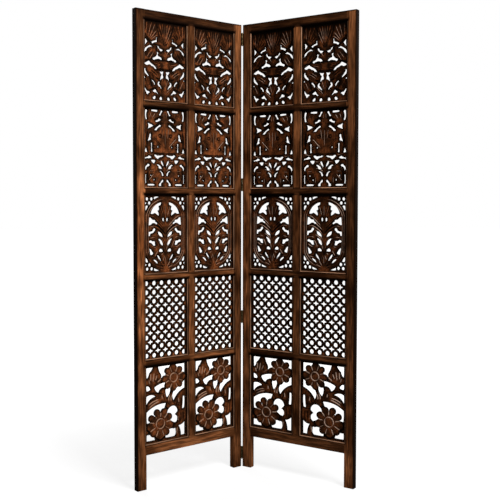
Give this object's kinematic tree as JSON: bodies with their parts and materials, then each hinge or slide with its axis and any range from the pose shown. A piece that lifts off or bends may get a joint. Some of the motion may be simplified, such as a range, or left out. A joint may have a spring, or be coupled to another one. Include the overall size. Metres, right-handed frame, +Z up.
{
  "type": "folding room divider",
  "caption": "Folding room divider of dark carved wood: framed leaves with pierced floral and lattice inserts, joined by butt hinges and standing on the feet of their stiles.",
  "frame": {"origin": "on the floor, at the middle of the footprint as the screen stands", "axes": "+Z up; the V of the two leaves opens towards -Y and is centred on X; the hinge axis is on the +Y side"},
  "size_m": [0.8554, 0.3176, 1.829],
  "materials": {
    "frame_wood": "dark stain, satin polish",
    "carved_wood": "carved, dark stain, rubbed high spots",
    "hinge_metal": "dull antique brass",
    "screw_metal": "dull brass"
  },
  "bodies": {
    "left_leaf": {"hinge_pin_1": "hinge_metal", "hinge_pin_2": "hinge_metal", "hinge_pin_3": "hinge_metal", "hinge_pin_4": "hinge_metal", "left_bottom_rail": "frame_wood", "left_daisy_inner": "carved_wood", "left_daisy_outer": "carved_wood", "left_hinge_plate_1": "hinge_metal", "left_hinge_plate_2": "hinge_metal", "left_hinge_plate_3": "hinge_metal", "left_hinge_plate_4": "hinge_metal", "left_hinge_screws": "screw_metal", "left_hinge_stile": "frame_wood", "left_leaf_spray_inner": "carved_wood", "left_leaf_spray_outer": "carved_wood", "left_muntin_1": "frame_wood", "left_muntin_2": "frame_wood", "left_muntin_3": "frame_wood", "left_muntin_4": "frame_wood", "left_muntin_5": "frame_wood", "left_outer_stile": "frame_wood", "left_oval_plant_inner": "carved_wood", "left_oval_plant_outer": "carved_wood", "left_palmette_inner": "carved_wood", "left_palmette_outer": "carved_wood", "left_rail_1": "frame_wood", "left_rail_2": "frame_wood", "left_rail_3": "frame_wood", "left_rail_4": "frame_wood", "left_star_lattice_inner": "carved_wood", "left_star_lattice_outer": "carved_wood", "left_top_rail": "frame_wood"},
    "right_leaf": {"right_bottom_rail": "frame_wood", "right_daisy_inner": "carved_wood", "right_daisy_outer": "carved_wood", "right_hinge_plate_1": "hinge_metal", "right_hinge_plate_2": "hinge_metal", "right_hinge_plate_3": "hinge_metal", "right_hinge_plate_4": "hinge_metal", "right_hinge_screws": "screw_metal", "right_hinge_stile": "frame_wood", "right_leaf_spray_inner": "carved_wood", "right_leaf_spray_outer": "carved_wood", "right_muntin_1": "frame_wood", "right_muntin_2": "frame_wood", "right_muntin_3": "frame_wood", "right_muntin_4": "frame_wood", "right_muntin_5": "frame_wood", "right_outer_stile": "frame_wood", "right_oval_plant_inner": "carved_wood", "right_oval_plant_outer": "carved_wood", "right_palmette_inner": "carved_wood", "right_palmette_outer": "carved_wood", "right_rail_1": "frame_wood", "right_rail_2": "frame_wood", "right_rail_3": "frame_wood", "right_rail_4": "frame_wood", "right_star_lattice_inner": "carved_wood", "right_star_lattice_outer": "carved_wood", "right_top_rail": "frame_wood"}
  },
  "joints": [
    {"name": "leaf_fold", "type": "hinge", "parent": "left_leaf", "child": "right_leaf", "pos_m": [0, 0.13784, 0], "axis": [0, 0, 1], "range_deg": [-108, 72]}
  ]
}
